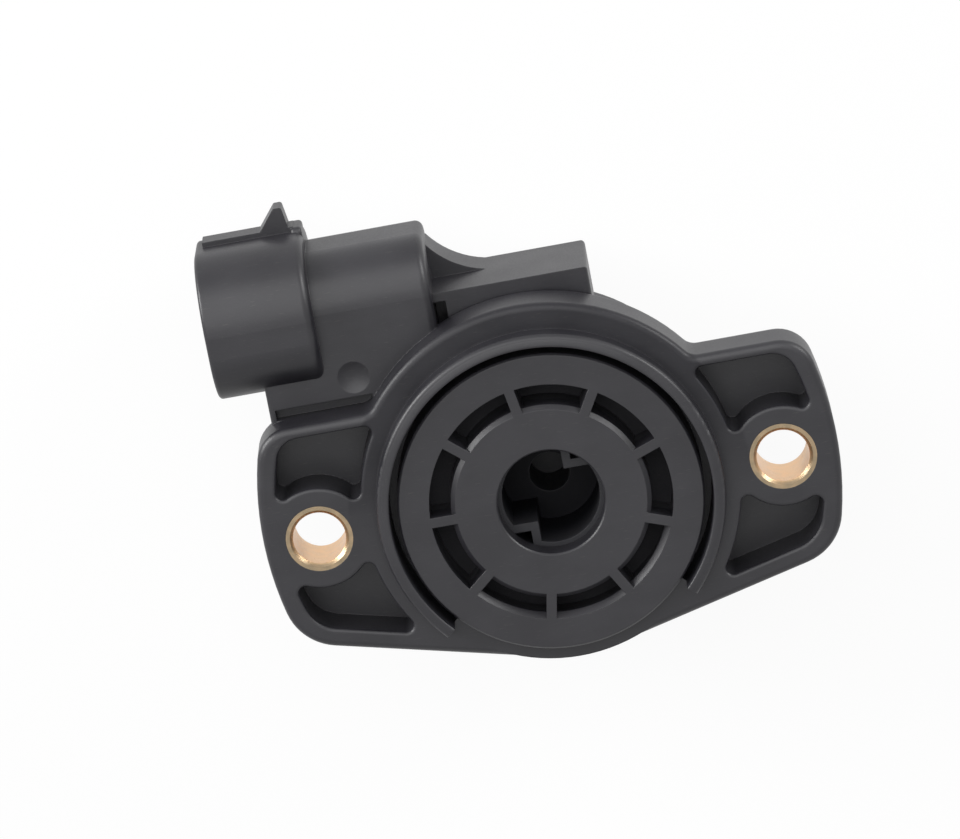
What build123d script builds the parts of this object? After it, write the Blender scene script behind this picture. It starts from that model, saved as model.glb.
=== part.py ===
from build123d import *
import os
from math import cos, radians, sin, sqrt, tan

# Throttle position sensor. The origin is on the rotor axis in the flange face.
# +X runs along the two screw holes, +Y towards the connector, +Z out of the flange face.

# Mounting flange and ears
HOLE_PITCH = 46.0
FLANGE_T = 6.5
EAR_REACH = 5.5
EAR_BULGE = 1.8
EAR_TOP_Y = 11.5
EAR_TOP_R = 3.5
EAR_FOOT_R = 5.5
EAR_ROOT_R = 1.6
RING_R = 19.6
BELLY_R = 16.5
EDGE_SLANT = 13.7
RIM_TOP = 1.15
RIM_SIDE = 1.75
RIM_FOOT = 1.9
POCKET_DEPTH = 5.0
POCKET_R = 0.7
LEDGE_W = 1.6
EDGE_R = 0.4
FRONT_R = 0.7
MOUTH_R = 0.35
BACK_R = 1.8
OVER = 1.0

# Screw bushings
BUSH_R = 3.3
BUSH_BORE_R = 2.6
BUSH_LEAD = 0.3
BUSH_WALL = 1.8

# Boss in the middle of the flange, with its lip, groove and ring of slots
DISC_R = 15.0
DISC_RISE = 1.6
LIP_GAP = 1.0
LIP_W = 1.0
LIP_RISE = 2.3
LIP_ROUND_RATIO = 0.45
GROOVE_DEPTH = 5.0
GROOVE_END = 47.0
SLOT_COUNT = 9
SLOT_R = 9.8
SLOT_W = 2.1
SLOT_DEPTH = 4.6
SLOT_FLARE = 0.45
SPOKE_W = 1.0
FRONT_WALL = 6.1
FINE_EDGE = 0.2

# Body behind the flange
BODY_DEPTH = 19.2
BODY_WALL = 1.1
COVER_SEAT = 0.8
BOARD_SEAT = 0.9

# Fits
RUN_GAP = 0.05
END_GAP = 0.1
SEAT_GAP = 0.05

# Rotor
BORE_R = 5.25
BORE_LEN = 2.4
BORE_LEAD = 0.15
DRIVE_LEDGE = 0.45
DRIVE_DEPTH = 8.2
HUB_WALL = 1.1
LUG_X = 1.7
LUG_Y = 2.4
LUG_WALL = 0.85
LUG_CORE_DEPTH = 5.5
LUG_CORE_WALL = 0.8
COLLAR_W = 1.05
ROTOR_GAP = 0.5
ROTOR_T = 2.0
SPRING_ROOM = 4.0
WIPER_ROOM = 2.0
TAIL_R = 3.0
TAIL_SHOULDER = 1.2
TAIL_CORE_R = 2.0
TAIL_CORE_FLOOR = 1.6
TURN = 105.0
STOP_START = 200.0
STOP_SWEEP = 14.0
STOP_RIB_SWEEP = 10.0
STOP_SLACK = 0.5
STOP_W = 2.0
STOP_H = 2.0

# Seal and return spring
SEAL_WIRE = 1.4
SPRING_WIRE = 0.7
SPRING_GAP = 0.55
SPRING_HALF_TURNS = 5
SPRING_LEG = 1.4
SPRING_BEND_R = 0.6
SPRING_START = 90.0

# Track board and what is printed or riveted on it
BOARD_T = 1.2
PRINT_T = 0.05
TRACK_INSET = 2.1
TRACK_W = 2.0
COLLECTOR_STEP = 2.6
TRACE_W = 0.5
TRACK_START = 196.0
TRACK_SWEEP = 140.0
PAD_INSET = 1.1
PAD_FIRST = 163.0
PAD_STEP = 17.0
PAD_R = 0.9
PRINT_PAD_R = 1.05
BOARD_HOLE_GAP = 0.5
RIVET_R = 0.5
RIVET_HEAD_R = 0.85
RIVET_HEAD_T = 0.3

# Wiper
WIPER_T = 0.2
WIPER_START = 196.0
FINGER_W = 0.5
FINGER_GAP = 0.25
FINGER_COUNT = 3
FINGER_RUN = 3.4
WIPER_BASE_L = 2.4
STAKE_R = 0.5
STAKE_HEAD_R = 0.85
STAKE_HEAD_T = 0.3

# Connector: axis along X, open towards -X
PLUG_Y = 21.15
PLUG_Z = -10.0
SHROUD_H = 14.2
SHROUD_D = 16.8
SHROUD_R = 5.0
SHROUD_CROWN_R = 7.0
SHROUD_WALL = 1.6
SHROUD_LEN = 10.7
SOCKET_FLOOR = 1.1
MID_H = 10.5
MID_D = 12.8
MID_R = 2.6
MID_CROWN_R = 5.2
MID_LEN = 11.6
MID_END_X = -8.0
STEP_R = 0.8
RAIL_H = 0.5
RAIL_W = 2.6
RAIL_FRONT = -0.8
FIN_LEN = 3.4
FIN_H = 2.6
FIN_TIP = 0.8
FIN_RAKE = 0.5
COLLAR_LEN = 1.1
COLLAR_H = 0.45
COLLAR_SIDE = 0.6

# Web, terminal duct, tab and gusset that tie the connector to the body
WEB_LEN = 17.7
RECESS_WALL = 0.6
RECESS_H = 1.05
RECESS_DEPTH = 1.2
DUCT_W = 7.4
DUCT_BACK_Z = -16.6
TAB_W = 15.4
TAB_H = 4.3
TAB_FRONT_Z = -5.8
TAB_CORE_WALL = 2.2
TAB_CORE_DEPTH = 7.0
RELIEF_W = 1.2
RELIEF_DROP = 0.9
RELIEF_DEPTH = 3.4
GUSSET_RUN = 5.4
GUSSET_H = 3.5
GUSSET_SAG_RATIO = 0.2
GUSSET_T = 4.6
DIMPLE_R = 1.6
DIMPLE_DEPTH = 0.35
DIMPLE_X = -16.9
DIMPLE_Y = 14.5

# Terminals
BLADE_W = 1.5
BLADE_T = 0.8
BLADE_PITCH = 4.0
BLADE_INSET = 1.8
FLAG_LEN = 1.9
JOG_GAP = 1.0

# Rear cover
COVER_T = 2.4
COVER_PROUD = 0.4
COVER_RING_W = 1.0
COVER_BOSS_WALL = 1.5
COVER_DISH_R = 11.5
COVER_DISH = 0.5
COVER_GATE = (118.0, 52.0)

# Places that follow from the sizes above
HOLE_X = HOLE_PITCH / 2
LIP_R = DISC_R + LIP_GAP
LIP_OUT_R = LIP_R + LIP_W
GROOVE_START = -90.0 + GROOVE_END
GROOVE_SWEEP = 360.0 - 2 * GROOVE_END
COVER_SEAT_R = BELLY_R - BODY_WALL
BOARD_SEAT_R = COVER_SEAT_R - COVER_SEAT
CAVITY_R = BOARD_SEAT_R - BOARD_SEAT
ROTOR_R = CAVITY_R - ROTOR_GAP
PAD_RADIUS = CAVITY_R - PAD_INSET
TRACK_R = CAVITY_R - TRACK_INSET
COLLECTOR_R = TRACK_R - COLLECTOR_STEP
DRIVE_R = BORE_R - DRIVE_LEDGE
HUB_R = BORE_R + HUB_WALL
LUG_CORE_R = HUB_R - LUG_CORE_WALL
HUB_FRONT_Z = DISC_RISE - BORE_LEN - END_GAP
ROOF_Z = DISC_RISE - FRONT_WALL
SEAL_ROOM = SEAL_WIRE + 2 * RUN_GAP
COLLAR_R = HUB_R + COLLAR_W
ROTOR_FRONT_Z = ROOF_Z - SPRING_ROOM
ROTOR_BACK_Z = ROTOR_FRONT_Z - ROTOR_T
BOARD_FRONT_Z = ROTOR_BACK_Z - WIPER_ROOM
BOARD_BACK_Z = BOARD_FRONT_Z - BOARD_T
COVER_BACK_Z = -BODY_DEPTH - COVER_PROUD
COVER_IN_Z = COVER_BACK_Z + COVER_T
SPRING_R = HUB_R + SEAL_ROOM + SPRING_GAP + SPRING_WIRE / 2
COIL_TOP_Z = ROOF_Z - SPRING_ROOM / 4
COIL_LOW_Z = ROTOR_FRONT_Z + SPRING_ROOM / 4
SPRING_END = SPRING_START + 180.0 * SPRING_HALF_TURNS
FLAG_Z = BOARD_BACK_Z - BLADE_T
JOG_Y = BOARD_SEAT_R + JOG_GAP
SHOULDER_Z = FLAG_Z
TAIL_SHOULDER_R = TAIL_R + TAIL_SHOULDER
TAIL_END_Z = COVER_IN_Z + END_GAP
WEB_FRONT_Z = PLUG_Z + MID_D / 2
SHROUD_BACK_X = MID_END_X - MID_LEN
SHROUD_MOUTH_X = SHROUD_BACK_X - SHROUD_LEN
SHROUD_TOP_Y = PLUG_Y + SHROUD_H / 2
TAB_TOP_Y = BELLY_R + TAB_H
GUSSET_TOP_Y = TAB_TOP_Y + GUSSET_H
ON_BASE = (Align.CENTER, Align.CENTER, Align.MIN)
FROM_CORNER = (Align.MIN, Align.MIN, Align.MIN)


def disc(radius, z_low, z_high, x=0.0, y=0.0):
    """Solid cylinder about Z between two heights."""
    return Pos(x, y, z_low) * Cylinder(radius, z_high - z_low, align=ON_BASE)


def ring(r_in, r_out, z_low, z_high):
    """Tube about the rotor axis between two heights."""
    return disc(r_out, z_low, z_high) - disc(r_in, z_low, z_high)


def block(x_limits, y_limits, z_limits):
    """Box between a lower and an upper limit on each axis."""
    low = [min(pair) for pair in (x_limits, y_limits, z_limits)]
    size = [abs(pair[1] - pair[0]) for pair in (x_limits, y_limits, z_limits)]
    return Pos(*low) * Box(*size, align=FROM_CORNER)


def sector(r_in, r_out, start, sweep, z_low, z_high):
    """Piece of a ring about the rotor axis, from a start angle through a sweep."""
    centre = Pos((r_in + r_out) / 2, (z_low + z_high) / 2)
    profile = Plane.XZ * centre * Rectangle(r_out - r_in, z_high - z_low)
    return Rot(0, 0, start) * revolve(profile, Axis.Z, sweep)


def at_level(shape, axis, level):
    """Edges of a shape that lie wholly at one place along an axis."""
    return shape.edges().filter_by_position(axis, level - 1e-3, level + 1e-3)


def plug_block(x_low, x_high, height, depth, radius, crown_r):
    """Length of the connector, with a rounded section that is rounder on its upper front corner."""
    across = Axis((0, 0, 0), (1, 1, 0))
    section = Rectangle(height, depth)
    section = fillet(section.vertices().sort_by(across)[-1], crown_r)
    section = fillet(section.vertices().sort_by(across)[:3], radius)
    start = Plane(origin=(x_low, PLUG_Y, PLUG_Z), x_dir=(0, 1, 0), z_dir=(1, 0, 0))
    return extrude(start * section, x_high - x_low)


def ear_plan(top_in=0.0, side_in=0.0, foot_in=0.0):
    """Plan of the right ear, drawn in from its top, side and foot edges."""
    slant = radians(EDGE_SLANT)
    belly_r = BELLY_R - foot_in
    touch = (belly_r * sin(slant), -belly_r * cos(slant))
    side_x = HOLE_X + EAR_REACH - side_in
    corner_x = side_x - EAR_BULGE
    top = (corner_x, EAR_TOP_Y - top_in)
    foot = (corner_x, touch[1] + (corner_x - touch[0]) * tan(slant))
    side = (side_x, (top[1] + foot[1]) / 2)
    edges = [
        Line((0, top[1]), top),
        ThreePointArc(top, side, foot),
        Line(foot, touch),
        Line(touch, (0, 0)),
        Line((0, 0), (0, top[1])),
    ]
    ear = make_face(edges)
    corners = ear.vertices().sort_by(Axis.X)[-2:].sort_by(Axis.Y)
    ear = fillet(corners[0], EAR_FOOT_R - foot_in)
    corners = ear.vertices().sort_by(Axis.X)[-3:].sort_by(Axis.Y)
    return fillet(corners[-1], EAR_TOP_R - top_in)


def flange_outline():
    """Plan of the flange: the upper ring, the two ears and the slanted lower edges."""
    ear = ear_plan()
    upper = Circle(RING_R) & (Pos(0, RING_R) * Rectangle(4 * RING_R, 2 * RING_R))
    outline = ear + mirror(ear, Plane.YZ) + Circle(BELLY_R) + upper
    root_x = sqrt(RING_R**2 - EAR_TOP_Y**2)
    roots = [v for v in outline.vertices() if abs(abs(v.X) - root_x) < 0.01]
    return fillet(roots, EAR_ROOT_R)


def ear_pockets():
    """Plan of the cored pockets above and below each bushing."""
    hollow = ear_plan(RIM_TOP, RIM_SIDE, RIM_FOOT) - Circle(LIP_OUT_R + LEDGE_W)
    hollow -= Pos(HOLE_X, 0) * Circle(BUSH_R + BUSH_WALL)
    hollow = offset(offset(hollow, -POCKET_R), POCKET_R)
    return hollow + mirror(hollow, Plane.YZ)


def flange():
    """Flange plate with its ear pockets, rounded front edges and a well rounded back edge."""
    plate = extrude(flange_outline(), -FLANGE_T)
    plate = fillet(at_level(plate, Axis.Z, -FLANGE_T), BACK_R)
    plate -= extrude(ear_pockets(), -POCKET_DEPTH)
    face = plate.faces().sort_by(Axis.Z)[-1]
    plate = fillet([edge for mouth in face.inner_wires() for edge in mouth.edges()], MOUTH_R)
    face = plate.faces().sort_by(Axis.Z)[-1]
    return fillet(face.outer_wire().edges(), FRONT_R)


def slot_cutters():
    """Ring of arc slots, each with a sloped inner edge, between parallel-sided spokes."""
    low, high = DISC_RISE - SLOT_DEPTH, DISC_RISE + OVER
    neck_z = DISC_RISE - SLOT_FLARE
    inner, outer = SLOT_R, SLOT_R + SLOT_W
    profile = Polyline(
        (inner, low),
        (outer, low),
        (outer, high),
        (inner - SLOT_FLARE - OVER, high),
        (inner, neck_z),
        close=True,
    )
    cut = revolve(Plane.XZ * make_face(profile), Axis.Z)
    for n in range(SLOT_COUNT):
        angle = 180.0 + 360.0 * n / SLOT_COUNT
        spoke = block((0, outer + 2 * SLOT_W), (-SPOKE_W / 2, SPOKE_W / 2), (low, high))
        cut -= Rot(0, 0, angle) * spoke
    return cut


def boss():
    """Raised boss in the middle of the flange: the slotted disc face and the rounded lip round it."""
    face = disc(DISC_R, ROOF_Z, DISC_RISE)
    face = chamfer(at_level(face, Axis.Z, DISC_RISE), FINE_EDGE)
    section = Pos(LIP_R + LIP_W / 2, LIP_RISE / 2) * Rectangle(LIP_W, LIP_RISE)
    section = fillet(section.vertices().sort_by(Axis.Y)[-2:], LIP_ROUND_RATIO * LIP_W)
    lip = Rot(0, 0, GROOVE_START) * revolve(Plane.XZ * section, Axis.Z, GROOVE_SWEEP)
    return face + (lip & extrude(flange_outline(), LIP_RISE))


def groove_cutter():
    """Deep groove between the disc and the lip, open over all but the foot."""
    low = DISC_RISE - GROOVE_DEPTH
    return sector(DISC_R, LIP_R, GROOVE_START, GROOVE_SWEEP, low, LIP_RISE + OVER)


def connector():
    """Connector shroud, its locking fin and collar, and the plain length behind it."""
    shroud = plug_block(SHROUD_MOUTH_X, SHROUD_BACK_X, SHROUD_H, SHROUD_D, SHROUD_R, SHROUD_CROWN_R)
    shroud = fillet(at_level(shroud, Axis.X, SHROUD_BACK_X), STEP_R)
    shroud = fillet(at_level(shroud, Axis.X, SHROUD_MOUTH_X), STEP_R / 2)
    middle = plug_block(SHROUD_BACK_X - 2 * STEP_R, MID_END_X, MID_H, MID_D, MID_R, MID_CROWN_R)
    middle = fillet(at_level(middle, Axis.X, MID_END_X), STEP_R)
    front_z = PLUG_Z + RAIL_FRONT
    root_y = SHROUD_TOP_Y - RAIL_H
    collar_x = SHROUD_BACK_X - COLLAR_LEN
    rail = block(
        (SHROUD_MOUTH_X + STEP_R, SHROUD_BACK_X - STEP_R),
        (root_y, SHROUD_TOP_Y + RAIL_H),
        (front_z - RAIL_W, front_z),
    )
    fin_points = [
        (collar_x - FIN_LEN, root_y),
        (collar_x - FIN_LEN, SHROUD_TOP_Y),
        (collar_x - FIN_RAKE - FIN_TIP, SHROUD_TOP_Y + FIN_H),
        (collar_x - FIN_RAKE, SHROUD_TOP_Y + FIN_H),
        (collar_x, root_y),
    ]
    fin = extrude(Plane.XY.offset(front_z) * make_face(Polyline(*fin_points, close=True)), -RAIL_W)
    fin = fillet(fin.edges().filter_by(Axis.Z).sort_by(Axis.Y)[-2:], FIN_TIP / 3)
    collar = block(
        (collar_x, SHROUD_BACK_X),
        (root_y - STEP_R, SHROUD_TOP_Y + COLLAR_H),
        (front_z - RAIL_W - COLLAR_SIDE, front_z + COLLAR_SIDE),
    )
    collar = fillet(collar.edges().filter_by(Axis.X).sort_by(Axis.Y)[-2:], COLLAR_SIDE)
    collar = fillet(at_level(collar, Axis.Y, SHROUD_TOP_Y + COLLAR_H), COLLAR_LEN / 3)
    return shroud + middle + rail + fin + collar


def socket_cutter():
    """Hollow of the connector, open at its mouth."""
    height, depth = SHROUD_H - 2 * SHROUD_WALL, SHROUD_D - 2 * SHROUD_WALL
    radius, crown_r = SHROUD_R - SHROUD_WALL, SHROUD_CROWN_R - SHROUD_WALL
    return plug_block(SHROUD_MOUTH_X - OVER, SHROUD_BACK_X - SOCKET_FLOOR, height, depth, radius, crown_r)


def web():
    """Web between the left ear and the connector, with a recess over the ear and a gate dimple."""
    left_x, right_x = MID_END_X - WEB_LEN, MID_END_X - STEP_R
    plate = block((left_x, right_x), (EAR_TOP_Y - RIM_TOP, PLUG_Y), (-FLANGE_T, WEB_FRONT_Z))
    plate = fillet(plate.edges().filter_by(Axis.Y).sort_by(Axis.X)[:2], EDGE_R)
    plate -= block(
        (left_x + RECESS_WALL, right_x),
        (EAR_TOP_Y, EAR_TOP_Y + RECESS_H),
        (WEB_FRONT_Z - RECESS_DEPTH, WEB_FRONT_Z),
    )
    ball_r = (DIMPLE_R**2 + DIMPLE_DEPTH**2) / (2 * DIMPLE_DEPTH)
    ball_z = WEB_FRONT_Z + ball_r - DIMPLE_DEPTH
    return plate - Pos(DIMPLE_X, DIMPLE_Y, ball_z) * Sphere(ball_r)


def tab():
    """Tab above the ring, relieved beside the connector and cored from behind."""
    right_x = MID_END_X + TAB_W
    plate = block((MID_END_X, right_x), (0, TAB_TOP_Y), (DUCT_BACK_Z, TAB_FRONT_Z))
    plate = fillet(plate.edges().sort_by(Axis.X)[-4:], EDGE_R)
    plate -= block(
        (MID_END_X, MID_END_X + RELIEF_W),
        (BELLY_R, TAB_TOP_Y - RELIEF_DROP),
        (TAB_FRONT_Z - RELIEF_DEPTH, TAB_FRONT_Z),
    )
    core = block(
        (MID_END_X + TAB_CORE_WALL, right_x - TAB_CORE_WALL),
        (BELLY_R + EDGE_R, TAB_TOP_Y - TAB_CORE_WALL),
        (DUCT_BACK_Z, DUCT_BACK_Z + TAB_CORE_DEPTH),
    )
    return plate - fillet(core.edges().filter_by(Axis.Z), EDGE_R)


def gusset():
    """Hollow-curved brace from the end of the connector down to the tab."""
    root_x, root_y = MID_END_X - STEP_R, TAB_TOP_Y - STEP_R
    top, toe = (MID_END_X, GUSSET_TOP_Y), (MID_END_X + GUSSET_RUN, TAB_TOP_Y)
    waist = (MID_END_X + GUSSET_RUN / 2, TAB_TOP_Y + GUSSET_H * (0.5 - GUSSET_SAG_RATIO))
    edges = [
        ThreePointArc(top, waist, toe),
        Polyline(toe, (toe[0], root_y), (root_x, root_y), (root_x, GUSSET_TOP_Y), top),
    ]
    return extrude(Plane.XY.offset(DUCT_BACK_Z) * make_face(edges), GUSSET_T)


def ties():
    """Web, terminal duct, tab and gusset between the connector and the body."""
    duct = block((MID_END_X - DUCT_W, MID_END_X), (0, PLUG_Y), (DUCT_BACK_Z, WEB_FRONT_Z))
    corners = duct.edges().filter_by(Axis.Y).sort_by(Axis.Z)
    duct = fillet(corners[:2] + [corners[2:].sort_by(Axis.X)[-1]], STEP_R)
    return web() + duct + tab() + gusset()


def stop_ribs():
    """Two ribs under the cavity roof that end the rotor's travel."""
    reach = STOP_SWEEP / 2 + STOP_SLACK
    starts = (STOP_START - reach - STOP_RIB_SWEEP, STOP_START + TURN + reach)
    low = ROTOR_FRONT_Z + 2 * END_GAP
    inner, outer = ROTOR_R - STOP_W, CAVITY_R + OVER
    ribs = [sector(inner, outer, start, STOP_RIB_SWEEP, low, ROOF_Z + OVER) for start in starts]
    return ribs[0] + ribs[1]


def cavity():
    """Everything that is hollow about the rotor axis, from the bore to the cover seat."""
    bore = disc(BORE_R, ROOF_Z, DISC_RISE + OVER)
    lead = Pos(0, 0, DISC_RISE) * Cone(
        BORE_R, BORE_R + BORE_LEAD, BORE_LEAD, align=(Align.CENTER, Align.CENTER, Align.MAX)
    )
    bearing = disc(HUB_R + RUN_GAP, ROOF_Z - OVER, DISC_RISE - BORE_LEN)
    seal_seat = disc(HUB_R + SEAL_ROOM, ROOF_Z - OVER, ROOF_Z + SEAL_ROOM)
    chamber = disc(CAVITY_R, BOARD_FRONT_Z - OVER, ROOF_Z) - stop_ribs()
    board_seat = disc(BOARD_SEAT_R, COVER_IN_Z - OVER, BOARD_FRONT_Z)
    cover_seat = disc(COVER_SEAT_R, -BODY_DEPTH - OVER, COVER_IN_Z)
    return bore + lead + bearing + seal_seat + chamber + board_seat + cover_seat


def spring_leg(angle, side, z_low, z_high, gap):
    """Straight end of the return spring, one bend past the end of the coil, or the hole for it."""
    leg = disc(SPRING_WIRE / 2 + gap, z_low - gap, z_high + gap, SPRING_R, side * SPRING_BEND_R)
    return Rot(0, 0, angle) * leg


def front_leg(gap=0.0):
    """Spring end that anchors in the cavity roof."""
    low = COIL_TOP_Z + SPRING_BEND_R
    return spring_leg(SPRING_END, 1, low, ROOF_Z + SPRING_LEG, gap)


def back_leg(gap=0.0):
    """Spring end that turns the rotor back."""
    high = COIL_LOW_Z - SPRING_BEND_R
    return spring_leg(SPRING_START, -1, ROTOR_FRONT_Z - SPRING_LEG, high, gap)


def blade_z(n):
    """Height of terminal n of three in the connector."""
    return PLUG_Z + (1 - n) * BLADE_PITCH


def pad_angle(n):
    """Direction of the rivet of terminal n from the rotor axis."""
    return PAD_FIRST - n * PAD_STEP


def pad_place(n):
    """Centre of the rivet that joins terminal n to the board."""
    angle = radians(pad_angle(n))
    return PAD_RADIUS * cos(angle), PAD_RADIUS * sin(angle)


def terminal(n):
    """Blade terminal: pin, leg, jog to the board and the flag that is riveted there."""
    pad_x, pad_y = pad_place(n)
    half_w, half_t = BLADE_W / 2, BLADE_T / 2
    x, z = pad_x - FLAG_LEN / 2 - half_t, blade_z(n)
    tip_x = SHROUD_MOUTH_X + BLADE_INSET
    pin = block((tip_x, x + half_t), (PLUG_Y - half_t, PLUG_Y + half_t), (z - half_w, z + half_w))
    tip = at_level(pin, Axis.X, tip_x)
    pin = chamfer(tip, BLADE_T / 3)
    leg_limits = (x - half_t, x + half_t)
    low_z = (BOARD_BACK_Z - BLADE_W, BOARD_BACK_Z)
    leg = block(leg_limits, (JOG_Y, PLUG_Y + half_t), (z - half_w, z + half_w))
    jog_z = (low_z[0], max(z + half_w, low_z[1]))
    jog = block(leg_limits, (JOG_Y, JOG_Y + BLADE_W), jog_z)
    foot = block(leg_limits, (pad_y - PAD_R, JOG_Y + BLADE_W), low_z)
    flag = block((x - half_t, pad_x + PAD_R), (pad_y - PAD_R, pad_y + PAD_R), (FLAG_Z, BOARD_BACK_Z))
    return pin + leg + jog + foot + flag - disc(RIVET_R, FLAG_Z, BOARD_BACK_Z, pad_x, pad_y)


def housing():
    """Moulded housing, one piece from the flange to the connector."""
    body = disc(BELLY_R, -BODY_DEPTH, 0.0)
    body = chamfer(at_level(body, Axis.Z, -BODY_DEPTH), EDGE_R)
    shape = body + flange() + ties() + connector() + boss()
    shape -= groove_cutter()
    shape -= slot_cutters()
    shape -= cavity()
    shape -= socket_cutter()
    shape -= front_leg(SEAT_GAP)
    for x in (-HOLE_X, HOLE_X):
        shape -= disc(BUSH_R, -FLANGE_T - OVER, OVER, x)
    for n in range(3):
        shape -= terminal(n)
    return shape


def bushing(x):
    """Metal sleeve for one screw, with a lead-in at both ends."""
    sleeve = disc(BUSH_R, -FLANGE_T, 0.0, x) - disc(BUSH_BORE_R, -FLANGE_T, 0.0, x)
    mouths = sleeve.edges().filter_by(GeomType.CIRCLE).sort_by(SortBy.RADIUS)[:2]
    return chamfer(mouths, BUSH_LEAD)


def corner_lugs(inset, reach, depth):
    """Two opposite corners of the drive socket, below the hub's face and out to a radius."""
    low = HUB_FRONT_Z - depth
    corner = disc(reach, low, HUB_FRONT_Z)
    corner &= block((LUG_X + inset, reach), (LUG_Y + inset, reach), (low, HUB_FRONT_Z))
    return corner + Rot(0, 0, 180) * corner


def finger_x(radius):
    """Distance of a finger group from the rotor axis, so that its tips reach the given radius."""
    return sqrt(radius**2 - (WIPER_BASE_L / 2 + FINGER_RUN) ** 2)


def stake_places():
    """Centres of the two stakes that hold the wiper on the rotor."""
    a = radians(WIPER_START)
    return [(finger_x(r) * cos(a), finger_x(r) * sin(a)) for r in (COLLECTOR_R, TRACK_R)]


def rotor():
    """Moulded rotor: hub with cored drive lugs, carrier disc, stop lug, wiper stakes and cored tail."""
    shape = disc(HUB_R, ROTOR_BACK_Z, HUB_FRONT_Z)
    shape += disc(COLLAR_R, ROTOR_BACK_Z, ROOF_Z - END_GAP)
    shape += disc(ROTOR_R, ROTOR_BACK_Z, ROTOR_FRONT_Z)
    shape += disc(TAIL_SHOULDER_R, SHOULDER_Z, ROTOR_BACK_Z)
    shape += disc(TAIL_R, TAIL_END_Z, SHOULDER_Z)
    shape -= disc(DRIVE_R, HUB_FRONT_Z - DRIVE_DEPTH, HUB_FRONT_Z)
    shape -= disc(TAIL_CORE_R, TAIL_END_Z + TAIL_CORE_FLOOR, HUB_FRONT_Z)
    shape += corner_lugs(0.0, BORE_R, DRIVE_DEPTH)
    shape -= corner_lugs(LUG_WALL, LUG_CORE_R, LUG_CORE_DEPTH)
    start = STOP_START - STOP_SWEEP / 2
    shape += sector(ROTOR_R - STOP_W, ROTOR_R, start, STOP_SWEEP, ROTOR_FRONT_Z, ROTOR_FRONT_Z + STOP_H)
    shape -= back_leg(SEAT_GAP)
    head_z = ROTOR_BACK_Z - WIPER_T
    for x, y in stake_places():
        shape += disc(STAKE_R, head_z - STAKE_HEAD_T, ROTOR_BACK_Z, x, y)
        shape += disc(STAKE_HEAD_R, head_z - STAKE_HEAD_T, head_z, x, y)
    return shape


def rotor_seal():
    """Ring seal between the hub and the front wall."""
    return Pos(0, 0, ROOF_Z + SEAL_ROOM / 2) * Torus(HUB_R + SEAL_ROOM / 2, SEAL_WIRE / 2)


def wire_arc(angle, height, centre, axis, turn):
    """Arc of spring wire that starts at the coil radius, in a direction given from the rotor axis."""
    section = Plane(origin=(SPRING_R, 0, height), z_dir=(0, 1, 0)) * Circle(SPRING_WIRE / 2)
    return Rot(0, 0, angle) * revolve(section, Axis(centre, axis), turn)


def return_spring():
    """Torsion spring round the rotor collar: tilted half turns, two bends and two straight ends."""
    rise = (COIL_TOP_Z - COIL_LOW_Z) / SPRING_HALF_TURNS
    spring = front_leg() + back_leg()
    for n in range(SPRING_HALF_TURNS):
        height = COIL_LOW_Z + n * rise
        centre = (0, 0, height + rise / 2)
        spring += wire_arc(SPRING_START + 180.0 * n, height, centre, (rise, 0, 2 * SPRING_R), 180.0)
    top = (SPRING_R, 0, COIL_TOP_Z + SPRING_BEND_R)
    low = (SPRING_R, 0, COIL_LOW_Z - SPRING_BEND_R)
    spring += wire_arc(SPRING_END, COIL_TOP_Z, top, (1, 0, 0), 90.0)
    return spring + wire_arc(SPRING_START, COIL_LOW_Z, low, (1, 0, 0), 90.0)


def wiper_fingers(radius):
    """Group of sprung fingers that bears on one track, bent down from the base."""
    drop = WIPER_ROOM - PRINT_T - SEAT_GAP
    top = ROTOR_BACK_Z
    start = WIPER_BASE_L / 2
    line = [
        (start - WIPER_T, top),
        (start, top),
        (start + FINGER_RUN, top - drop + WIPER_T),
        (start + FINGER_RUN, top - drop),
        (start + FINGER_RUN - WIPER_T, top - drop),
        (start - WIPER_T, top - WIPER_T),
    ]
    profile = Plane.YZ * make_face(Polyline(*line, close=True))
    group = None
    for n in range(FINGER_COUNT):
        x = finger_x(radius) + (n - (FINGER_COUNT - 1) / 2) * (FINGER_W + FINGER_GAP) - FINGER_W / 2
        finger = Pos(x, 0, 0) * extrude(profile, FINGER_W)
        group = finger if group is None else group + finger
    return group


def wiper():
    """Stamped contact: a base under two stakes, with three fingers on each track."""
    span = FINGER_COUNT * FINGER_W + (FINGER_COUNT - 1) * FINGER_GAP
    base = block(
        (finger_x(COLLECTOR_R) - span / 2, finger_x(TRACK_R) + span / 2),
        (-WIPER_BASE_L / 2, WIPER_BASE_L / 2),
        (ROTOR_BACK_Z - WIPER_T, ROTOR_BACK_Z),
    )
    for radius in (COLLECTOR_R, TRACK_R):
        base -= disc(STAKE_R, ROTOR_BACK_Z - WIPER_T, ROTOR_BACK_Z, finger_x(radius))
        base += wiper_fingers(radius)
    return Rot(0, 0, WIPER_START) * base


def track_board():
    """Board that carries the tracks, open in the middle for the rotor's tail."""
    board = ring(TAIL_SHOULDER_R + BOARD_HOLE_GAP, BOARD_SEAT_R - SEAT_GAP, BOARD_BACK_Z, BOARD_FRONT_Z)
    for n in range(3):
        board -= disc(RIVET_R, BOARD_BACK_Z, BOARD_FRONT_Z, *pad_place(n))
    return board


def printed(r_in, r_out, start, sweep):
    """Printed arc on the front of the board."""
    return sector(r_in, r_out, start, sweep, BOARD_FRONT_Z, BOARD_FRONT_Z + PRINT_T)


def resistive_track():
    """Carbon arc that the outer fingers run on."""
    return printed(TRACK_R - TRACK_W / 2, TRACK_R + TRACK_W / 2, TRACK_START, TRACK_SWEEP)


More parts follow.
